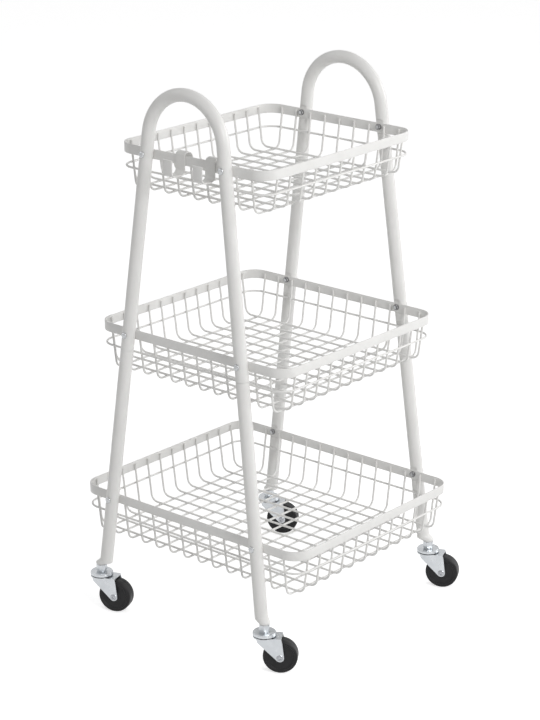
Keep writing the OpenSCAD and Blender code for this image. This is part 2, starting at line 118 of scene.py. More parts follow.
def finish(name, main, cloudy, worn, rough, metal=0.0, coat=0.0, cloud_scale=30.0, wear=None,
           bump_scale=700.0, bump_depth=0.00004, stretch=(1, 1, 1)):
    """A surface finish: main and clouded colour, worn edge colour, roughness range, fine bump."""
    material = bpy.data.materials.new(name)
    material.use_nodes = True
    nodes, links = material.node_tree.nodes, material.node_tree.links
    shader = nodes["Principled BSDF"]
    shader.inputs["Metallic"].default_value = metal
    shader.inputs["Coat Weight"].default_value = coat
    shader.inputs["Coat Roughness"].default_value = 0.25
    clouds = nodes.new("ShaderNodeGroup")
    clouds.node_tree = clouding
    clouds.inputs["Scale"].default_value = cloud_scale
    edges = nodes.new("ShaderNodeGroup")
    edges.node_tree = edge_wear
    for label, value in (wear or {}).items():
        edges.inputs[label].default_value = value
    colour = None
    for mask, other in ((clouds.outputs["Mask"], cloudy), (edges.outputs["Mask"], worn)):
        mix = nodes.new("ShaderNodeMix")
        mix.data_type = "RGBA"
        links.new(mask, mix.inputs["Factor"])
        if colour is None:
            mix.inputs[6].default_value = (*main, 1)
        else:
            links.new(colour, mix.inputs[6])
        mix.inputs[7].default_value = (*other, 1)
        colour = mix.outputs[2]
    links.new(colour, shader.inputs["Base Color"])
    fine = grain(nodes, links, bump_scale, 3, stretch)
    ranged = nodes.new("ShaderNodeMapRange")
    links.new(maths(nodes, links, "MULTIPLY", fine, clouds.outputs["Mask"]), ranged.inputs["Value"])
    ranged.inputs["To Min"].default_value = rough[0]
    ranged.inputs["To Max"].default_value = rough[1]
    links.new(ranged.outputs["Result"], shader.inputs["Roughness"])
    bump = nodes.new("ShaderNodeBump")
    bump.inputs["Distance"].default_value = bump_depth
    bump.inputs["Strength"].default_value = 1.0
    links.new(fine, bump.inputs["Height"])
    links.new(bump.outputs["Normal"], shader.inputs["Normal"])
    return material


POWDER = {"main": (0.83, 0.825, 0.81), "cloudy": (0.80, 0.793, 0.775), "worn": (0.87, 0.865, 0.85)}
tube_coat = finish("satin powder on tube", rough=(0.34, 0.5), coat=0.12, bump_scale=650, **POWDER)


# ------------------------------------------------------------ arches and legs
# Round steel tube, drawn 19 mm outside. Each arch is one tube bent on a former; the four
# lower legs push up inside it on reduced ends. Flats are pressed where the rims are screwed on.

SIDES = {"left": -1, "right": 1}
ENDS = {"front": -1, "back": 1}
TIERS = ("top", "middle", "bottom")
TUBE_R = 0.0095
WALL = 0.0012
ARCH_Z = 0.7297
ARCH_R = 0.06905
SPLAY = math.radians(7.13)
LEAN = math.radians(1.51)
HALF_WIDTH = 0.1725
SEAM_Z = 0.4165
SPIGOT_TOP_Z = 0.455
SEAT_ABOVE = 0.004
SEAT_BELOW = 0.0015
SEAT_EASE = 1.6
LEG_END_Z = 0.080
RIM_X, RIM_Y, RIM_TOP = {}, {}, {}
for tier in TIERS:
    low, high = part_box("rim_" + tier)
    RIM_X[tier] = high.x
    RIM_Y[tier] = high.y
    RIM_TOP[tier] = high.z
RIM_HEIGHT = high.z - low.z


def arch_point(side, y, z):
    """A point of an arch's leaning plane, y across it and z up from the arch centre."""
    return Vector((side * (HALF_WIDTH - z * math.sin(LEAN)), y, ARCH_Z + z * math.cos(LEAN)))


def leg_point(side, end, z):
    """Centre of a leg at height z above the floor."""
    local = (z - ARCH_Z) / math.cos(LEAN)
    return arch_point(side, end * (ARCH_R / math.cos(SPLAY) - local * math.tan(SPLAY)), local)


def show(name, mesh):
    """Links a finished mesh as an object at the origin."""
    piece = bpy.data.objects.new(name, mesh)
    bpy.context.scene.collection.objects.link(piece)
    return piece


def smooth(mesh, angle=35):
    """Outward faces, smooth shading, and creases where the surface turns more than the angle."""
    work = bmesh.new()
    work.from_mesh(mesh)
    bmesh.ops.recalc_face_normals(work, faces=work.faces)
    work.to_mesh(mesh)
    work.free()
    mesh.polygons.foreach_set("use_smooth", [True] * len(mesh.polygons))
    mesh.set_sharp_from_angle(angle=math.radians(angle))


def path_mesh(points, closed=False):
    """A chain of edges for a tree to follow."""
    mesh = bpy.data.meshes.new("path")
    joins = [(k, k + 1) for k in range(len(points) - 1)]
    if closed:
        joins.append((len(points) - 1, 0))
    mesh.from_pydata([tuple(p) for p in points], joins, [])
    return mesh


def node_tree(name, sockets):
    """A geometry tree with named inputs, and its input and output nodes."""
    tree = bpy.data.node_groups.new(name, "GeometryNodeTree")
    tree.interface.new_socket(name="Geometry", in_out="INPUT", socket_type="NodeSocketGeometry")
    for label, kind in sockets.items():
        tree.interface.new_socket(name=label, in_out="INPUT", socket_type="NodeSocket" + kind)
    tree.interface.new_socket(name="Geometry", in_out="OUTPUT", socket_type="NodeSocketGeometry")
    return tree, tree.nodes.new("NodeGroupInput"), tree.nodes.new("NodeGroupOutput")


def chain(tree, given, output, steps, first=None):
    """Joins nodes in a row by their geometry sockets, then ends in Realize Instances and Set Material."""
    last = first or given.outputs["Geometry"]
    for node in steps:
        tree.links.new(last, node.inputs[0])
        last = node.outputs[0]
    realize = tree.nodes.new("GeometryNodeRealizeInstances")
    painted = tree.nodes.new("GeometryNodeSetMaterial")
    tree.links.new(last, realize.inputs[0])
    tree.links.new(realize.outputs[0], painted.inputs[0])
    tree.links.new(given.outputs["Finish"], painted.inputs["Material"])
    tree.links.new(painted.outputs[0], output.inputs[0])


def shaped(name, base, tree, angle=35, **values):
    """Runs a tree on a base mesh with the given inputs and returns the plain mesh as a piece."""
    holder = show(name + "_base", base)
    modifier = holder.modifiers.new("shape", "NODES")
    modifier.node_group = tree
    sockets = {s.name: s.identifier for s in tree.interface.items_tree if s.in_out == "INPUT"}
    for label, value in values.items():
        modifier[sockets[label.replace("_", " ")]] = value
    evaluated = holder.evaluated_get(bpy.context.evaluated_depsgraph_get())
    mesh = bpy.data.meshes.new_from_object(evaluated)
    bpy.data.objects.remove(holder)
    bpy.data.meshes.remove(base)
    mesh.name = name
    smooth(mesh, angle)
    return show(name, mesh)


sweep, given, output = node_tree("drawn section", {
    "Radius": "Float", "Facets": "Int", "Capped": "Bool", "Finish": "Material"})
as_curve = sweep.nodes.new("GeometryNodeMeshToCurve")
skin = sweep.nodes.new("GeometryNodeCurveToMesh")
section = sweep.nodes.new("GeometryNodeCurvePrimitiveCircle")
sweep.links.new(given.outputs["Facets"], section.inputs["Resolution"])
sweep.links.new(given.outputs["Radius"], section.inputs["Radius"])
sweep.links.new(section.outputs["Curve"], skin.inputs["Profile Curve"])
sweep.links.new(given.outputs["Capped"], skin.inputs["Fill Caps"])
chain(sweep, given, output, [as_curve, skin])


def press_seats(mesh, side, tiers, inset):
    """Pushes the tube's inner side out to each rim's plane, easing off above and below it."""
    for vertex in mesh.vertices:
        for tier in tiers:
            top = RIM_TOP[tier] + SEAT_ABOVE
            bottom = RIM_TOP[tier] - RIM_HEIGHT - SEAT_BELOW
            beyond = max(0.0, vertex.co.z - top, bottom - vertex.co.z)
            least = RIM_X[tier] + inset - SEAT_EASE * beyond
            if side * vertex.co.x < least:
                vertex.co.x = side * least


def tube(name, points, side, tiers, radius=TUBE_R, inset=0.0):
    """A hollow tube along points, with its pressed seats and its wall inside the skin."""
    piece = shaped(name, path_mesh(points), sweep, Radius=radius, Facets=56, Capped=False, Finish=tube_coat)
    press_seats(piece.data, side, tiers, inset)
    wall = piece.modifiers.new("wall", "SOLIDIFY")
    wall.thickness = WALL
    wall.offset = -1
    mesh = bpy.data.meshes.new_from_object(
        piece.evaluated_get(bpy.context.evaluated_depsgraph_get()))
    piece.modifiers.clear()
    piece.data = mesh
    smooth(mesh, 50)
    return piece


def seat_levels(tiers, high, low):
    """Heights for the rings of a straight tube: close together through the seats."""
    levels = {high, low}
    for tier in tiers:
        centre = RIM_TOP[tier] - RIM_HEIGHT / 2 + 0.00125
        levels.update(round(centre + step * 0.00125, 6) for step in range(-10, 11))
    return sorted((z for z in levels if low <= z <= high), reverse=True)


for side_name, side in SIDES.items():
    bend_level = arch_point(side, 0, ARCH_R * math.sin(SPLAY)).z
    straight = seat_levels(("top", "middle"), bend_level - 0.002, SEAM_Z + 0.0003)
    run = [leg_point(side, -1, z) for z in reversed(straight)]
    for k in range(65):
        angle = math.pi - SPLAY - (math.pi - 2 * SPLAY) * k / 64
        run.append(arch_point(side, ARCH_R * math.cos(angle), ARCH_R * math.sin(angle)))
    run += [leg_point(side, 1, z) for z in straight]
    arch = tube("arch_tube_" + side_name, run, side, ("top", "middle"))
    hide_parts("arch_" + side_name)
    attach(arch, "frame")

    for end_name, end in ENDS.items():
        place = end_name + "_" + side_name
        down = [leg_point(side, end, z) for z in seat_levels(("bottom",), SEAM_Z, LEG_END_Z)]
        leg = tube("leg_tube_" + place, down, side, ("bottom",))
        up = [leg_point(side, end, z) for z in seat_levels(("middle",), SPIGOT_TOP_Z, SEAM_Z - 0.003)]
        spigot = tube("spigot_" + place, up, side, ("middle",), TUBE_R - WALL - 0.0001, WALL + 0.0001)
        joined = bmesh.new()
        joined.from_mesh(leg.data)
        joined.from_mesh(spigot.data)
        joined.to_mesh(leg.data)
        joined.free()
        bpy.data.objects.remove(spigot)
        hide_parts("leg_" + place)
        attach(leg, "frame")


# --------------------------------------------------------------- foot sockets
# Steel ends pressed into the legs and coated with them. Each carries the tube on, rounds off
# towards the caster's side and is tapped upright for its stem.

FOOT_BOTTOM = 0.071
FOOT_LOW_R = 0.0062
FOOT_HIGH_R = 0.0084
FOOT_ROUNDING = 0.0035
foot_coat = finish("satin powder on feet", rough=(0.36, 0.55), coat=0.1, bump_scale=520, **POWDER)


def ring_points(centre, axis, radius, parts=40):
    """Points of a circle about an axis."""
    across = axis.orthogonal().normalized()
    beside = axis.cross(across).normalized()
    return [centre + radius * (math.cos(2 * math.pi * k / parts) * across
                               + math.sin(2 * math.pi * k / parts) * beside) for k in range(parts)]


for side_name, side in SIDES.items():
    for end_name, end in ENDS.items():
        place = end_name + "_" + side_name
        low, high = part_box("caster_stem_" + place)
        stem = Vector(((low.x + high.x) / 2, (low.y + high.y) / 2, 0))
        tube_end = leg_point(side, end, LEG_END_Z)
        down = (leg_point(side, end, FOOT_BOTTOM) - tube_end).normalized()
        outline = (ring_points(tube_end, down, TUBE_R)
                   + ring_points(tube_end + FOOT_ROUNDING * down, down, TUBE_R))
        for k in range(6):
            turn = math.radians(90 * k / 5)
            height = FOOT_BOTTOM + FOOT_ROUNDING * (1 - math.sin(turn))
            radius = FOOT_LOW_R + (FOOT_HIGH_R - FOOT_LOW_R) * math.cos(turn)
            outline += ring_points(stem + Vector((0, 0, height)), Vector((0, 0, 1)), radius)
        work = bmesh.new()
        for point in outline:
            work.verts.new(point)
        hull = bmesh.ops.convex_hull(work, input=work.verts)
        bmesh.ops.delete(work, geom=list({v for v in hull["geom_interior"] + hull["geom_unused"]
                                          if isinstance(v, bmesh.types.BMVert)}), context="VERTS")
        skin = bpy.data.meshes.new("foot_socket_" + place)
        work.to_mesh(skin)
        work.free()
        skin.materials.append(foot_coat)
        smooth(skin, 40)
        foot = show(skin.name, skin)
        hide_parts("socket_" + place)
        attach(foot, "frame")


# ------------------------------------------------------------- basket rims
# Flat steel strip, 14 by 2 mm with rolled edges, bent on edge to a rounded rectangle and butt
# welded at the back. It carries the basket's wires inside and the frame's screws.

STRIP = 0.002
CORNER_R = 0.027
strip_coat = finish("satin powder on strip", rough=(0.33, 0.5), coat=0.12, bump_scale=600, **POWDER)

formed, given, output = node_tree("formed strip", {
    "Thickness": "Float", "Width": "Float", "Edge": "Float", "Finish": "Material"})
as_curve = formed.nodes.new("GeometryNodeMeshToCurve")
upright = formed.nodes.new("GeometryNodeSetCurveNormal")
upright.mode = "Z_UP"
skin = formed.nodes.new("GeometryNodeCurveToMesh")
skin.inputs["Fill Caps"].default_value = True
section = formed.nodes.new("GeometryNodeCurvePrimitiveQuadrilateral")
rolled = formed.nodes.new("GeometryNodeFilletCurve")
rolled.mode = "POLY"
rolled.inputs["Count"].default_value = 3
formed.links.new(given.outputs["Thickness"], section.inputs["Width"])
formed.links.new(given.outputs["Width"], section.inputs["Height"])
formed.links.new(section.outputs[0], rolled.inputs["Curve"])
formed.links.new(given.outputs["Edge"], rolled.inputs["Radius"])
formed.links.new(rolled.outputs[0], skin.inputs["Profile Curve"])
chain(formed, given, output, [as_curve, upright, skin])


def bent_path(steps, start=(0.0, 0.0), heading=0.0, arc_parts=8):
    """Points of a bent line in its own plane, from (length, 0, 0) and (0, left turn in degrees, radius)."""
    x, y = start
    points = [(x, y)]
    for length, turn, radius in steps:
        if turn == 0:
            x += length * math.cos(heading)
            y += length * math.sin(heading)
            points.append((x, y))
            continue
        side = math.copysign(1, turn)
        parts = max(2, round(arc_parts * abs(turn) / 90))
        centre = (x - side * radius * math.sin(heading), y + side * radius * math.cos(heading))
        for _ in range(parts):
            heading += math.radians(turn) / parts
            x = centre[0] + side * radius * math.sin(heading)
            y = centre[1] - side * radius * math.cos(heading)
            points.append((x, y))
    return points


def loop_path(half_x, half_y, radius, z, arc_parts=10):
    """A level rounded rectangle."""
    run_x, run_y = 2 * (half_x - radius), 2 * (half_y - radius)
    steps = [(run_x, 0, 0), (0, 90, radius), (run_y, 0, 0), (0, 90, radius)] * 2
    flat = bent_path(steps, (-run_x / 2, -half_y), arc_parts=arc_parts)
    return [(x, y, z) for x, y in flat[:-1]]


for tier in TIERS:
    loop = loop_path(RIM_X[tier] - STRIP / 2, RIM_Y[tier] - STRIP / 2, CORNER_R - STRIP / 2,
                     RIM_TOP[tier] - RIM_HEIGHT / 2)
    rim = shaped("rim_strip_" + tier, path_mesh(loop, closed=True), formed,
                 Thickness=STRIP, Width=RIM_HEIGHT, Edge=0.0005, Finish=strip_coat)
    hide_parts("rim_" + tier)
    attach(rim, "frame")


# ----------------------------------------------------------- basket wires
# Drawn wire, 3.2 mm, bent to troughs. Cross wires run side to side, long wires lie on them
# front to back, and a belt wire goes round outside. All are spot welded, then coated.

WIRE_R = 0.0016
GAP = 0.00005
WIRE_START = 0.003
WIRE_MARGIN = 0.028
WALL_SLOPE = 8
TOP_RUN = 0.010
TOP_BEND = 0.015
FLOOR_BEND = 0.012
BELT_DROP = 0.034
BASKET_DROP = {"top": 0.064, "middle": 0.070, "bottom": 0.073}
CROSS_COUNT = {"top": 9, "middle": 12, "bottom": 14}
LONG_COUNT = {"top": 11, "middle": 12, "bottom": 12}
wire_coat = finish("satin powder on wire", rough=(0.32, 0.5), coat=0.15, bump_scale=900,
                   bump_depth=0.00002, wear={"Radius": 0.0004}, **POWDER)

wire_row, given, output = node_tree("row of bent wires", {
    "Radius": "Float", "Facets": "Int", "Count": "Int", "First": "Vector", "Pitch": "Vector",
    "Finish": "Material"})
as_curve = wire_row.nodes.new("GeometryNodeMeshToCurve")
skin = wire_row.nodes.new("GeometryNodeCurveToMesh")
skin.inputs["Fill Caps"].default_value = True
section = wire_row.nodes.new("GeometryNodeCurvePrimitiveCircle")
places = wire_row.nodes.new("GeometryNodeMeshLine")
placed = wire_row.nodes.new("GeometryNodeInstanceOnPoints")
wire_row.links.new(given.outputs["Facets"], section.inputs["Resolution"])
wire_row.links.new(given.outputs["Radius"], section.inputs["Radius"])
wire_row.links.new(section.outputs["Curve"], skin.inputs["Profile Curve"])
wire_row.links.new(given.outputs["Count"], places.inputs["Count"])
wire_row.links.new(given.outputs["First"], places.inputs["Start Location"])
wire_row.links.new(given.outputs["Pitch"], places.inputs["Offset"])
wire_row.links.new(given.outputs["Geometry"], as_curve.inputs[0])
wire_row.links.new(as_curve.outputs[0], skin.inputs["Curve"])
wire_row.links.new(skin.outputs[0], placed.inputs["Instance"])
chain(wire_row, given, output, [placed], places.outputs[0])

nuggets, given, output = node_tree("spot welds", {"Size": "Float", "Finish": "Material"})
bead = nuggets.nodes.new("GeometryNodeMeshUVSphere")
bead.inputs["Segments"].default_value = 8
bead.inputs["Rings"].default_value = 5
dotted = nuggets.nodes.new("GeometryNodeInstanceOnPoints")
nuggets.links.new(given.outputs["Size"], bead.inputs["Radius"])
nuggets.links.new(bead.outputs["Mesh"], dotted.inputs["Instance"])
chain(nuggets, given, output, [dotted])


def trough_path(half_span, drop):
    """Side view of one bent wire: down a sloped wall, along the floor and up again."""
    slope = math.radians(WALL_SLOPE)
    wall = (drop - TOP_RUN - TOP_BEND * math.sin(slope)
            - FLOOR_BEND * (1 - math.sin(slope))) / math.cos(slope)
    inset = (TOP_BEND * (1 - math.cos(slope)) + wall * math.sin(slope)
             + FLOOR_BEND * math.cos(slope))
    side = [(TOP_RUN, 0, 0), (0, WALL_SLOPE, TOP_BEND), (wall, 0, 0), (0, 90 - WALL_SLOPE, FLOOR_BEND)]
    floor = [(2 * (half_span - inset), 0, 0)]
    return bent_path(side + floor + side[::-1], (-half_span, 0.0), -math.pi / 2)


def wall_drift(below_start):
    """How far a sloped wall has moved inwards at a distance below the wires' upper ends."""
    slope = math.radians(WALL_SLOPE)
    return (TOP_BEND * (1 - math.cos(slope))
            + (below_start - TOP_RUN - TOP_BEND * math.sin(slope)) * math.tan(slope))


for tier in TIERS:
    wire_x = RIM_X[tier] - STRIP - GAP - WIRE_R
    wire_y = RIM_Y[tier] - STRIP - GAP - WIRE_R
    start_z = RIM_TOP[tier] - WIRE_START
    drop = BASKET_DROP[tier] - WIRE_START
    lift = 2 * WIRE_R + GAP
    last_y = RIM_Y[tier] - WIRE_MARGIN
    last_x = RIM_X[tier] - WIRE_MARGIN
    rows_y = [-last_y + 2 * last_y * k / (CROSS_COUNT[tier] - 1) for k in range(CROSS_COUNT[tier])]
    rows_x = [-last_x + 2 * last_x * k / (LONG_COUNT[tier] - 1) for k in range(LONG_COUNT[tier])]

    side_view = trough_path(wire_x, drop)
    cross = shaped("wires_cross_" + tier, path_mesh([(u, 0, start_z + v) for u, v in side_view]),
                   wire_row, Radius=WIRE_R, Facets=12, Count=len(rows_y), First=(0.0, rows_y[0], 0.0),
                   Pitch=(0.0, rows_y[1] - rows_y[0], 0.0), Finish=wire_coat)
    end_view = trough_path(wire_y, drop - lift)
    along = shaped("wires_long_" + tier, path_mesh([(0, u, start_z + v) for u, v in end_view]),
                   wire_row, Radius=WIRE_R, Facets=12, Count=len(rows_x), First=(rows_x[0], 0.0, 0.0),
                   Pitch=(rows_x[1] - rows_x[0], 0.0, 0.0), Finish=wire_coat)

    belt_in = (STRIP + GAP + WIRE_R + wall_drift(BELT_DROP - WIRE_START)
               - lift / math.cos(math.radians(WALL_SLOPE)))
    belt_z = RIM_TOP[tier] - BELT_DROP
    loop = loop_path(RIM_X[tier] - belt_in, RIM_Y[tier] - belt_in, CORNER_R - belt_in, belt_z, 12)
    belt = shaped("wire_belt_" + tier, path_mesh(loop, closed=True), sweep,
                  Radius=WIRE_R, Facets=12, Capped=False, Finish=wire_coat)

    floor_z = start_z - drop + lift / 2
    spots = [(x, y, floor_z) for x in rows_x for y in rows_y]
    reach_x = RIM_X[tier] - belt_in - lift / 2
    reach_y = RIM_Y[tier] - belt_in - lift / 2
    rim_z = RIM_TOP[tier] - RIM_HEIGHT / 2
    for side in (-1, 1):
        spots += [(side * reach_x, y, belt_z) for y in rows_y]
        spots += [(x, side * reach_y, belt_z) for x in rows_x]
        for level in (rim_z - 0.004, rim_z, rim_z + 0.003):
            spots += [(side * (wire_x + WIRE_R - 0.0004), y, level) for y in rows_y]
            spots += [(x, side * (wire_y + WIRE_R - 0.0004), level) for x in rows_x]
    points = bpy.data.meshes.new("spots")
    points.from_pydata(spots, [], [])
    welds = shaped("welds_" + tier, points, nuggets, 60, Size=0.00125, Finish=wire_coat)
    for piece, node in ((cross, "cross_wires_"), (along, "long_wires_"), (belt, "belt_wire_")):
        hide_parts(node + tier)
        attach(piece, "frame")
    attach(welds, "frame")


# ---------------------------------------------------------- screws and nuts
# M5 machine screws with bright domed heads pass through tube and rim from outside; grey hex
# nuts hold them inside. Four to each basket.

BOLT_DROP = 0.0055
BOLT_R = 0.0025
HEAD_R = 0.00475
HEAD_EDGE = 0.0006
HEAD_HEIGHT = 0.0030
NUT_FLATS = 0.008
NUT_HEIGHT = 0.004
bright_plate = finish("bright plate", (0.52, 0.53, 0.54), (0.36, 0.37, 0.38), (0.78, 0.78, 0.79),
                      (0.12, 0.3), metal=1.0, cloud_scale=400, bump_scale=2200, bump_depth=0.00001)
nut_plate = finish("dull nut plate", (0.30, 0.30, 0.305), (0.20, 0.20, 0.205), (0.50, 0.50, 0.50),
                   (0.35, 0.6), metal=1.0, cloud_scale=300, bump_scale=1800, bump_depth=0.00002)


def turned(name, profile, facets, material, crease=35):
    """A closed solid of revolution about Z, from (radius, height) points that start and end on the axis."""
    work = bmesh.new()
    rings = []
    for radius, height in profile:
        if radius < 1e-9:
            rings.append([work.verts.new((0, 0, height))])
        else:
            rings.append([work.verts.new((radius * math.cos(2 * math.pi * k / facets),
                                          radius * math.sin(2 * math.pi * k / facets), height))
                          for k in range(facets)])
    for lower, upper in zip(rings, rings[1:]):
        for k in range(facets):
            n = (k + 1) % facets
            corners = [lower[k % len(lower)], lower[n % len(lower)],
                       upper[n % len(upper)], upper[k % len(upper)]]
            work.faces.new(list(dict.fromkeys(corners)))
    mesh = bpy.data.meshes.new(name)
    work.to_mesh(mesh)
    work.free()
    mesh.materials.append(material)
    smooth(mesh, crease)
    return mesh


def hexagon_block(name, flats, low, high, bore, chamfer, material):
    """A hex nut about Z with chamfered corners and an open bore."""
    work = bmesh.new()
    corner = flats / 2 / math.cos(math.pi / 6)
    rows = ((bore, low), (flats / 2 - 0.0001, low), (corner, low + chamfer), (corner, high - chamfer),
            (flats / 2 - 0.0001, high), (bore, high))
    parts = 36
    rings = []
    for radius, height in rows:
        ring = []
        for k in range(parts):
            angle = 2 * math.pi * k / parts
            off = (angle + math.pi / 6) % (math.pi / 3) - math.pi / 6
            limit = min(radius, flats / 2 / math.cos(off))
            ring.append(work.verts.new((limit * math.cos(angle), limit * math.sin(angle), height)))
        rings.append(ring)
    for lower, upper in zip(rings, rings[1:] + rings[:1]):
        for k in range(parts):
            n = (k + 1) % parts
            work.faces.new([lower[k], lower[n], upper[n], upper[k]])
    mesh = bpy.data.meshes.new(name)
    work.to_mesh(mesh)
    work.free()
    mesh.materials.append(material)
    smooth(mesh, 25)
    return mesh


corners, given, output = node_tree("four corners", {
    "Span X": "Float", "Span Y": "Float", "Level": "Vector", "Finish": "Material"})
grid = corners.nodes.new("GeometryNodeMeshGrid")
grid.inputs["Vertices X"].default_value = 2
grid.inputs["Vertices Y"].default_value = 2
raised = corners.nodes.new("GeometryNodeSetPosition")
where = corners.nodes.new("GeometryNodeInputPosition")
across = corners.nodes.new("ShaderNodeSeparateXYZ")
on_left = corners.nodes.new("ShaderNodeMath")
on_left.operation = "LESS_THAN"
on_left.inputs[1].default_value = 0
half_turn = corners.nodes.new("ShaderNodeMath")
half_turn.operation = "MULTIPLY"
half_turn.inputs[1].default_value = math.pi
facing_out = corners.nodes.new("ShaderNodeCombineXYZ")
placed = corners.nodes.new("GeometryNodeInstanceOnPoints")
corners.links.new(given.outputs["Span X"], grid.inputs["Size X"])
corners.links.new(given.outputs["Span Y"], grid.inputs["Size Y"])
corners.links.new(given.outputs["Level"], raised.inputs["Offset"])
corners.links.new(where.outputs[0], across.inputs[0])
corners.links.new(across.outputs["X"], on_left.inputs[0])
corners.links.new(on_left.outputs[0], half_turn.inputs[0])
corners.links.new(half_turn.outputs[0], facing_out.inputs["Z"])
corners.links.new(given.outputs["Geometry"], placed.inputs["Instance"])
corners.links.new(facing_out.outputs[0], placed.inputs["Rotation"])
chain(corners, given, output, [raised, placed], grid.outputs["Mesh"])

to_x = Matrix.Rotation(math.pi / 2, 4, "Y")
for tier in TIERS:
    z = RIM_TOP[tier] - BOLT_DROP
    centre = leg_point(1, 1, z)
    inner = RIM_X[tier] - STRIP - NUT_HEIGHT - 0.0015 - centre.x
    head = TUBE_R - 0.0002
    profile = [(0, inner), (BOLT_R - 0.0004, inner), (BOLT_R, inner + 0.0004), (BOLT_R, head),
               (HEAD_R - 0.0003, head), (HEAD_R, head + 0.0003)]
    top_of_head = TUBE_R + HEAD_HEIGHT
    for k in range(8):
        angle = math.radians(8 + 82 * k / 7)
        profile.append((HEAD_R * math.cos(angle),
                        head + HEAD_EDGE + (top_of_head - head - HEAD_EDGE) * math.sin(angle)))
    profile[-1] = (0, top_of_head)
    screw = turned("screw", profile, 28, bright_plate)
    screw.transform(to_x)
    heads = shaped("screws_" + tier, screw, corners, Span_X=2 * centre.x, Span_Y=2 * centre.y,
                   Level=(0.0, 0.0, z), Finish=bright_plate)
    nut = hexagon_block("nut", NUT_FLATS, 0, NUT_HEIGHT, BOLT_R + 0.00005, 0.0006, nut_plate)
    nut.transform(Matrix.Rotation(-math.pi / 2, 4, "Y"))
    hexes = shaped("hex_nuts_" + tier, nut, corners, 25, Span_X=2 * (RIM_X[tier] - STRIP),
                   Span_Y=2 * centre.y, Level=(0.0, 0.0, z), Finish=nut_plate)
    for piece, node, slot_name in ((heads, "bolts_", "screw_plating"), (hexes, "nuts_", "nut_steel")):
        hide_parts(node + tier)
        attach(piece, "frame")


# ------------------------------------------------------------------- hooks
# Two lift-off hooks: steel strip 17 by 1.6 mm bent over the top rim and out to a J, coated
# like the frame. They hang on the rim and ride on their own lift slides.

HOOK_WIDTH = 0.017
HOOK_THICK = 0.0016
HOOK_AT = {"back": 0.015, "front": -0.040}
HOOK_ARC = 0.009
HOOK_SMALL = 0.002
HOOK_JOINT = 0.001
HOOK_GAP = 0.00015
HOOK_RISE = 0.0033
HOOK_DROP = 0.027
HOOK_CORNER = 0.007
HOOK_REACH = 0.0278
hook_coat = finish("satin powder on hooks", rough=(0.33, 0.5), coat=0.15, bump_scale=750, **POWDER)
middle = HOOK_RISE - HOOK_ARC
span = HOOK_ARC - HOOK_SMALL
over = (math.atan2(HOOK_JOINT, span)
        + math.acos((HOOK_GAP - middle - HOOK_SMALL) / math.hypot(span, HOOK_JOINT)))
shoulder = middle + span * math.sin(over) - HOOK_JOINT * math.cos(over)
bend_level = HOOK_CORNER + HOOK_THICK - HOOK_DROP
base_run = HOOK_REACH - HOOK_GAP - 2 * (HOOK_THICK + HOOK_CORNER)
half = HOOK_THICK / 2
hook_line = bent_path([
    (0.012 + middle, 0, 0), (0, math.degrees(over) - 180, HOOK_ARC + half), (HOOK_JOINT, 0, 0),
    (0, -math.degrees(over), HOOK_SMALL + half), (shoulder - bend_level, 0, 0),
    (0, 90, HOOK_CORNER + half), (base_run, 0, 0), (0, 90, HOOK_CORNER + half),
    (-0.002 - bend_level, 0, 0)], (middle - HOOK_ARC - half, -0.012), math.pi / 2, 12)
for which, y in HOOK_AT.items():
    hook = shaped("j_hook_" + which, path_mesh([(u, v, 0) for u, v in hook_line]), formed,
                  Thickness=HOOK_THICK, Width=HOOK_WIDTH, Edge=0.0005, Finish=hook_coat)
    hung = Matrix(((-1, 0, 0, -RIM_X["top"]), (0, 0, 1, y), (0, 1, 0, RIM_TOP["top"]), (0, 0, 0, 1)))
    hook.data.transform(hung)
    smooth(hook.data)
    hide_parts("hook_" + which)
    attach(hook, "hook_" + which)


# ------------------------------------------------------------ caster fittings
# Pressed steel, zinc plated bright: the threaded stem with its hex and king
# pin, the upper race dish crimped on it, and the folded fork that turns under the balls.

def worked_copy(node, name, body, material, bevel, crease=35):
    """A merged copy of a CAD solid with its sharp edges broken, which stands for that solid."""
    work = bmesh.new()
    work.from_mesh(frame["nodes"][node].data)
    bmesh.ops.remove_doubles(work, verts=work.verts, dist=0.000002)
    bmesh.ops.dissolve_limit(work, angle_limit=math.radians(0.6), verts=work.verts, edges=work.edges)
    mesh = bpy.data.meshes.new(name)
    work.to_mesh(mesh)
    work.free()
    mesh.polygons.foreach_set("use_smooth", [True] * len(mesh.polygons))
    mesh.set_sharp_from_angle(angle=math.radians(crease))
    mesh.materials.append(material)
    piece = show(name, mesh)
    eased = piece.modifiers.new("eased edges", "BEVEL")
    eased.width = bevel
    eased.segments = 2
    eased.limit_method = "ANGLE"
    eased.angle_limit = math.radians(crease)
    eased.harden_normals = True
    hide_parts(node)
    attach(piece, body)
    return piece


zinc = finish("bright zinc", (0.55, 0.57, 0.59), (0.49, 0.51, 0.53), (0.74, 0.75, 0.76), (0.26, 0.42),
              metal=1.0, cloud_scale=60, bump_scale=1300, bump_depth=0.00003,
              wear={"Radius": 0.0008, "Amount": 3.0})
axle_steel = finish("turned zinc", (0.40, 0.41, 0.43), (0.30, 0.31, 0.33), (0.7, 0.7, 0.72), (0.16, 0.34),
                    metal=1.0, cloud_scale=260, bump_scale=1600, bump_depth=0.00002)
ball_steel = finish("polished balls", (0.66, 0.66, 0.68), (0.55, 0.55, 0.57), (0.8, 0.8, 0.8), (0.08, 0.18),
                    metal=1.0, cloud_scale=500, bump_scale=2500, bump_depth=0.000005)
ball_ring, given, output = node_tree("ring of balls", {
    "Count": "Int", "Ring": "Float", "Ball": "Float", "Finish": "Material"})
circle = ball_ring.nodes.new("GeometryNodeMeshCircle")
ball = ball_ring.nodes.new("GeometryNodeMeshUVSphere")
ball.inputs["Segments"].default_value = 20
ball.inputs["Rings"].default_value = 12
placed = ball_ring.nodes.new("GeometryNodeInstanceOnPoints")
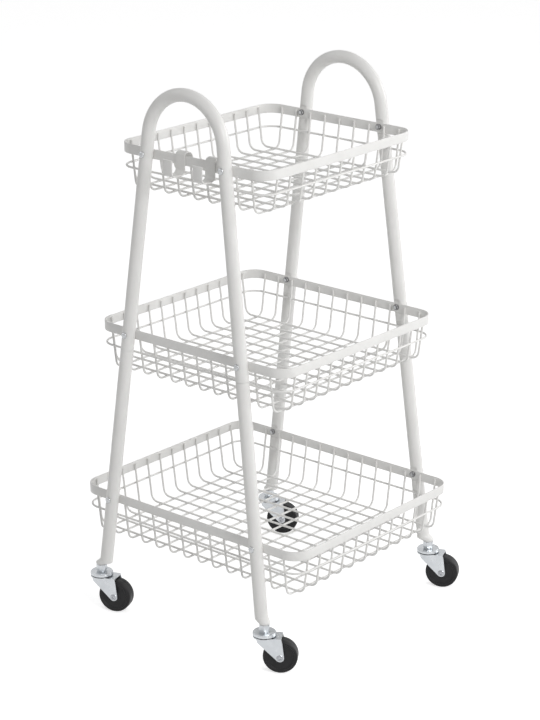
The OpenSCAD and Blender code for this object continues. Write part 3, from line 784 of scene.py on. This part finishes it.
ball_ring.links.new(given.outputs["Count"], circle.inputs["Vertices"])
ball_ring.links.new(given.outputs["Ring"], circle.inputs["Radius"])
ball_ring.links.new(given.outputs["Ball"], ball.inputs["Radius"])
ball_ring.links.new(ball.outputs["Mesh"], placed.inputs["Instance"])
chain(ball_ring, given, output, [placed], circle.outputs["Mesh"])

AXLE_R = 0.003
HEAD_SEAT = 0.0125
CROWN_R = 0.008
half_pin = [(0, 0.0129), (0.0016, 0.0129), (0.0019, 0.0138)]
half_pin += [(r, 0.0063 + math.sqrt(CROWN_R ** 2 - r * r)) for r in (0.0024, 0.0032, 0.0040, 0.0047)]
half_pin += [(0.0049, HEAD_SEAT), (AXLE_R, HEAD_SEAT)]
pin_profile = [(r, -z) for r, z in half_pin] + [(r, z) for r, z in reversed(half_pin)]


def on_axle(hub, axis):
    """Places a piece that was made about Z on a wheel's axis."""
    across = axis.normalized()
    forward = Vector((0, 0, 1)).cross(across)
    turn = Matrix((forward, across.cross(forward), across)).transposed().to_4x4()
    return Matrix.Translation(hub) @ turn


caster_turn = {}
for joint in frame["joints"]:
    if joint["name"].startswith("roll_"):
        place = joint["name"][5:]
        axis = Vector(joint["axis"])
        hub = Vector(joint["pos_m"])
        swivel = next(j for j in frame["joints"] if j["name"] == "swivel_" + place)
        caster_turn[place] = (Vector(swivel["pos_m"]), hub, axis)
        worked_copy("caster_stem_" + place, "king_pin_" + place, "frame", zinc, 0.00035)
        worked_copy("top_race_" + place, "race_dish_" + place, "frame", zinc, 0.0003)
        worked_copy("fork_" + place, "folded_fork_" + place, "swivel_" + place, zinc, 0.0005)
        pin = show("axle_pin_" + place, turned("axle_pin_" + place, pin_profile, 40, axle_steel))
        pin.data.transform(on_axle(hub, axis))
        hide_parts("axle_" + place)
        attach(pin, "swivel_" + place)
        low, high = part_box("balls_" + place)
        empty = bpy.data.meshes.new("ring")
        balls = shaped("ball_ring_" + place, empty, ball_ring, 180, Count=12, Ring=0.0115,
                       Ball=(high.z - low.z) / 2, Finish=ball_steel)
        balls.data.transform(Matrix.Translation((caster_turn[place][0].x, caster_turn[place][0].y,
                                                 (low.z + high.z) / 2)))
        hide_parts("balls_" + place)
        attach(balls, "swivel_" + place)


# ------------------------------------------------------------------- wheels
# Solid 50 mm wheels moulded in black rubber compound: a hub boss, a shallow dish round it, a
# rounded rim with a fine ring groove, and a crowned tread with a parting line round its middle.

WHEEL_R = 0.025
WHEEL_HALF = 0.0095
HUB_R = 0.008
BORE_R = 0.00306
rubber = finish("black wheel compound", (0.014, 0.014, 0.015), (0.022, 0.022, 0.023), (0.055, 0.055, 0.057),
                (0.38, 0.62), cloud_scale=90, bump_scale=1500, bump_depth=0.00005,
                wear={"Radius": 0.0015, "Amount": 5.0, "Break Up": 500.0})
rubber.node_tree.nodes["Principled BSDF"].inputs["Specular IOR Level"].default_value = 0.22


def wheel_mesh(name):
    """The wheel about its own Z axis: one closed ring section turned through a full circle."""
    boss = WHEEL_HALF
    dish = boss - 0.0010
    half = [(BORE_R, boss - 0.0004), (BORE_R + 0.0004, boss), (HUB_R - 0.0005, boss), (HUB_R, boss - 0.0004),
            (HUB_R + 0.0003, dish), (0.0183, dish), (0.0188, boss - 0.0003), (0.0191, boss),
            (0.0202, boss), (0.0205, boss - 0.0005), (0.0208, boss), (0.0222, boss)]
    for k in range(1, 7):
        angle = math.radians(90 - 90 * k / 6)
        half.append((0.0222 + 0.0026 * math.cos(angle), boss - 0.0026 + 0.0026 * math.sin(angle)))
    half += [(0.02495, 0.0035), (WHEEL_R, 0.0008), (WHEEL_R - 0.0001, 0.0003)]
    section = half + [(r, -z) for r, z in reversed(half)]
    facets = 96
    work = bmesh.new()
    rings = [[work.verts.new((r * math.cos(2 * math.pi * k / facets),
                              r * math.sin(2 * math.pi * k / facets), z))
              for k in range(facets)] for r, z in section]
    for lower, upper in zip(rings, rings[1:] + rings[:1]):
        for k in range(facets):
            n = (k + 1) % facets
            work.faces.new([lower[k], lower[n], upper[n], upper[k]])
    mesh = bpy.data.meshes.new(name)
    work.to_mesh(mesh)
    work.free()
    mesh.materials.append(rubber)
    smooth(mesh, 40)
    return mesh


for place, (stem, hub, axis) in caster_turn.items():
    wheel = show("wheel_tyre_" + place, wheel_mesh("wheel_tyre_" + place))
    wheel.data.transform(on_axle(hub, axis))
    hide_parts("wheel_" + place)
    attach(wheel, "roller_" + place)


# ------------------------------------------------------- floor, light, camera
# A plain pale floor that takes the cart's shadow, a white surround, soft lamps and the camera.

def stage_material(name, tone, glow):
    """White to the camera and in reflections where nothing shades it, plain pale paint otherwise."""
    material = bpy.data.materials.new(name)
    material.use_nodes = True
    nodes, links = material.node_tree.nodes, material.node_tree.links
    shader = nodes["Principled BSDF"]
    shader.inputs["Base Color"].default_value = (tone, tone, tone, 1)
    shader.inputs["Roughness"].default_value = 0.9
    shader.inputs["Emission Color"].default_value = (1, 1, 1, 1)
    path = nodes.new("ShaderNodeLightPath")
    seen = maths(nodes, links, "MAXIMUM", path.outputs["Is Camera Ray"], path.outputs["Is Glossy Ray"])
    links.new(maths(nodes, links, "MULTIPLY", seen, glow), shader.inputs["Emission Strength"])
    return material


floor_mesh = bpy.data.meshes.new("floor")
floor_reach = 14.0
floor_mesh.from_pydata([(-floor_reach, -floor_reach, 0), (floor_reach, -floor_reach, 0),
                        (floor_reach, floor_reach, 0), (-floor_reach, floor_reach, 0)],
                       [], [(0, 1, 2, 3)])
floor_mesh.materials.append(stage_material("pale floor", 0.8, 0.62))
floor = show("floor", floor_mesh)

world = bpy.data.worlds.new("surround")
bpy.context.scene.world = world
world.use_nodes = True
sky_nodes, sky_links = world.node_tree.nodes, world.node_tree.links
sky = sky_nodes["Background"]
sky.inputs["Color"].default_value = (1, 1, 1, 1)
path = sky_nodes.new("ShaderNodeLightPath")
seen = maths(sky_nodes, sky_links, "MAXIMUM", path.outputs["Is Camera Ray"], path.outputs["Is Glossy Ray"])
level = sky_nodes.new("ShaderNodeMapRange")
level.inputs["To Min"].default_value = 0.38
level.inputs["To Max"].default_value = 1.0
sky_links.new(seen, level.inputs["Value"])
sky_links.new(level.outputs["Result"], sky.inputs["Strength"])


def lamp(name, place, target, size, power):
    """A square soft lamp that faces the target."""
    light = bpy.data.lights.new(name, "AREA")
    light.size = size
    light.energy = power
    light_object = bpy.data.objects.new(name, light)
    light_object.location = place
    light_object.rotation_euler = (Vector(target) - Vector(place)).to_track_quat("-Z", "Y").to_euler()
    bpy.context.scene.collection.objects.link(light_object)


lamp("key", (-0.9, -3.3, 2.4), (0, 0, 0.45), 1.4, 62)
lamp("fill", (2.8, -1.8, 1.6), (0, 0, 0.4), 1.6, 36)
lamp("back", (-1.6, 2.8, 2.6), (0, 0, 0.5), 2.0, 8)

view_turn = math.radians(-49.726)
view_drop = math.radians(19.017)
view_roll = math.radians(0.131)
forward = Vector((-math.sin(view_turn) * math.cos(view_drop), math.cos(view_turn) * math.cos(view_drop),
                  -math.sin(view_drop)))
right = forward.cross(Vector((0, 0, 1))).normalized()
up = right.cross(forward)
tilted_right = right * math.cos(view_roll) + up * math.sin(view_roll)
tilted_up = up * math.cos(view_roll) - right * math.sin(view_roll)
camera_data = bpy.data.cameras.new("camera")
camera_data.lens = 115.03
camera_data.sensor_width = 36
camera_data.clip_end = 60
camera = bpy.data.objects.new("camera", camera_data)
stand = Matrix((tilted_right, tilted_up, -forward)).transposed().to_4x4()
stand.translation = Vector((-2.4231, -2.0582, 1.4724))
camera.matrix_world = stand
bpy.context.scene.collection.objects.link(camera)
bpy.context.scene.camera = camera
bpy.context.scene.view_settings.view_transform = "Standard"
